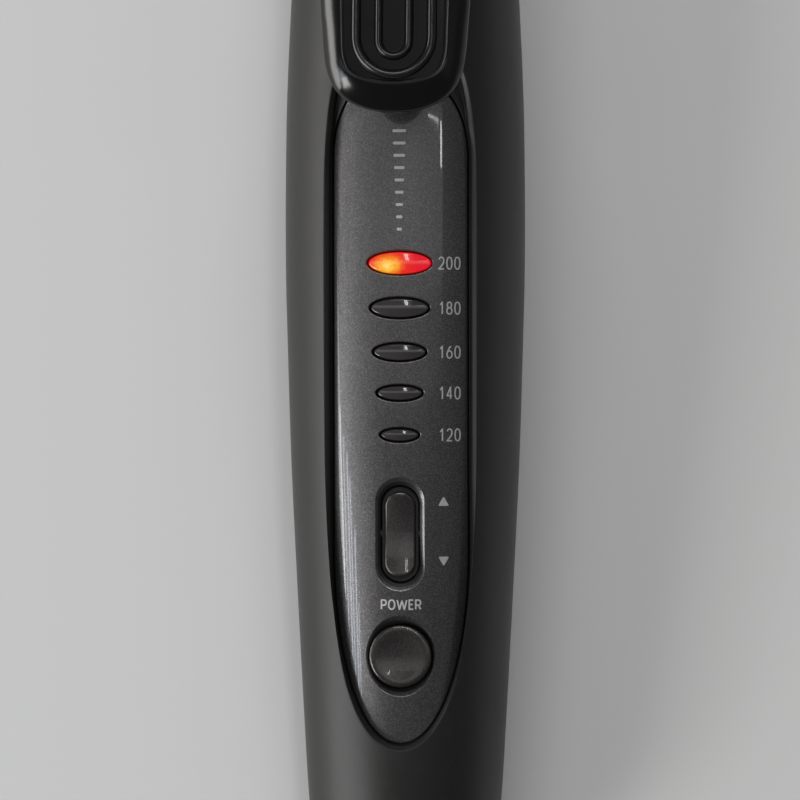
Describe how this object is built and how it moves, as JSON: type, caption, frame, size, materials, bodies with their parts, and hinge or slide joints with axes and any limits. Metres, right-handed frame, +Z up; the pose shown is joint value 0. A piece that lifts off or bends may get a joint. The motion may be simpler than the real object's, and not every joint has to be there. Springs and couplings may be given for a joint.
{
  "type": "clamp curling iron",
  "caption": "Electric clamp curling iron with a tapering handle, inset temperature panel, sprung hair clamp with thumb lever, round heated barrel, folding wire stand and swivel cord inlet.",
  "frame": {"origin": "centre of the iron's bounding box, at the table it rests on", "axes": "+Z up from the table, +Y towards the barrel's tip, +X to the right seen from above the control panel; the barrel's axis rises 5 degrees towards the tip because the iron lies on its stand's feet and on the underside of the handle's tail"},
  "size_m": [0.046, 0.3377, 0.0632],
  "materials": {
    "handle_soft_touch": "soft-touch matt warm black",
    "panel_graphite": "fine-flake graphite lacquer under clear coat",
    "key_graphite": "satin graphite lacquer with fine flake",
    "window_smoked": "smoked translucent, glossy",
    "window_lit": "translucent, lit from behind, yellow to red",
    "thumb_gloss": "piano black",
    "heat_resin": "heat-resistant glass-filled nylon, fine spark texture",
    "barrel_coat": "graphite-coloured ceramic coating, satin",
    "bracket_steel": "bright zinc plated",
    "wire_chrome": "polished nickel plate",
    "foot_rubber": "matt silicone rubber",
    "spreader_aluminium": "as extruded",
    "heater_ceramic": "white fired ceramic in an insulating film",
    "contact_brass": "plain brass",
    "board_green": "green solder mask",
    "component_black": "moulded epoxy",
    "capacitor_can": "sleeved can",
    "nylon_natural": "natural nylon",
    "lead_white": "glass-braid silicone sleeve",
    "lead_blue": "silicone insulation"
  },
  "bodies": {
    "handle": {"front_shell": "handle_soft_touch", "rear_shell": "handle_soft_touch", "shell_screw_right": "bracket_steel", "shell_screw_left": "bracket_steel", "shell_screw_tail": "bracket_steel", "control_panel": "panel_graphite", "lens_200": "window_lit", "lens_180": "window_smoked", "lens_160": "window_smoked", "lens_140": "window_smoked", "lens_120": "window_smoked", "rocker_axle": "heat_resin", "circuit_board": "board_green", "board_screw_front": "bracket_steel", "board_screw_rear": "bracket_steel", "led_200": "heater_ceramic", "led_180": "heater_ceramic", "led_160": "heater_ceramic", "led_140": "heater_ceramic", "led_120": "heater_ceramic", "power_switch": "component_black", "temperature_up_switch": "component_black", "temperature_down_switch": "component_black", "controller_chip": "component_black", "triac": "component_black", "reservoir_capacitor": "capacitor_can", "brush_live": "contact_brass", "brush_neutral": "contact_brass", "brush_carrier": "nylon_natural", "barrel_tube": "barrel_coat", "barrel_plug": "nylon_natural", "tip_cap": "heat_resin", "heat_spreader_upper": "spreader_aluminium", "heat_spreader_lower": "spreader_aluminium", "heater_plate": "heater_ceramic", "thermal_fuse": "bracket_steel", "heater_lead_live": "lead_white", "heater_lead_neutral": "lead_white", "thermistor_probe": "lead_blue", "mains_lead_live": "lead_white", "mains_lead_neutral": "lead_blue", "front_collar": "heat_resin", "collar_screw": "bracket_steel", "hinge_pin": "bracket_steel", "torsion_spring": "bracket_steel"},
    "clamp_lever": {"thumb_lever": "thumb_gloss", "lever_screw": "bracket_steel", "lever_bracket": "bracket_steel", "clamp_plate": "barrel_coat", "clamp_rivet_rear": "bracket_steel", "clamp_rivet_front": "bracket_steel"},
    "power_key": {"power_button": "key_graphite", "power_switch_plunger": "component_black"},
    "temperature_key": {"temperature_rocker": "key_graphite"},
    "stand": {"wire_stand": "wire_chrome", "stand_foot_left": "foot_rubber", "stand_foot_right": "foot_rubber"},
    "cord_swivel": {"swivel_hub": "heat_resin", "slip_ring_live": "contact_brass", "slip_ring_neutral": "contact_brass"}
  },
  "joints": [
    {"name": "clamp_hinge", "type": "hinge", "parent": "handle", "child": "clamp_lever", "pos_m": [0, 0.02401, 0.05362], "axis": [1, 0, 0], "range_deg": [0, 12], "stiffness_Nm_per_rad": 0.7, "springref_deg": -12.03, "deforming": ["torsion_spring"]},
    {"name": "power_press", "type": "slide", "parent": "handle", "child": "power_key", "axis": [0, 0.0872, -0.9962], "range_m": [0, 0.0006], "stiffness_N_per_m": 1500, "springref_m": -0.0003},
    {"name": "temperature_rock", "type": "hinge", "parent": "handle", "child": "temperature_key", "pos_m": [0, -0.10088, 0.03437], "axis": [1, 0, 0], "range_deg": [-6, 6], "stiffness_Nm_per_rad": 0.05},
    {"name": "stand_fold", "type": "hinge", "parent": "handle", "child": "stand", "pos_m": [0, 0.0263, 0.0217], "axis": [-1, 0, 0], "range_deg": [0, 75]},
    {"name": "cord_swivel_turn", "type": "hinge", "parent": "handle", "child": "cord_swivel", "pos_m": [0, -0.15533, 0.01535], "axis": [0, 0.9962, 0.0872], "continuous": true}
  ]
}
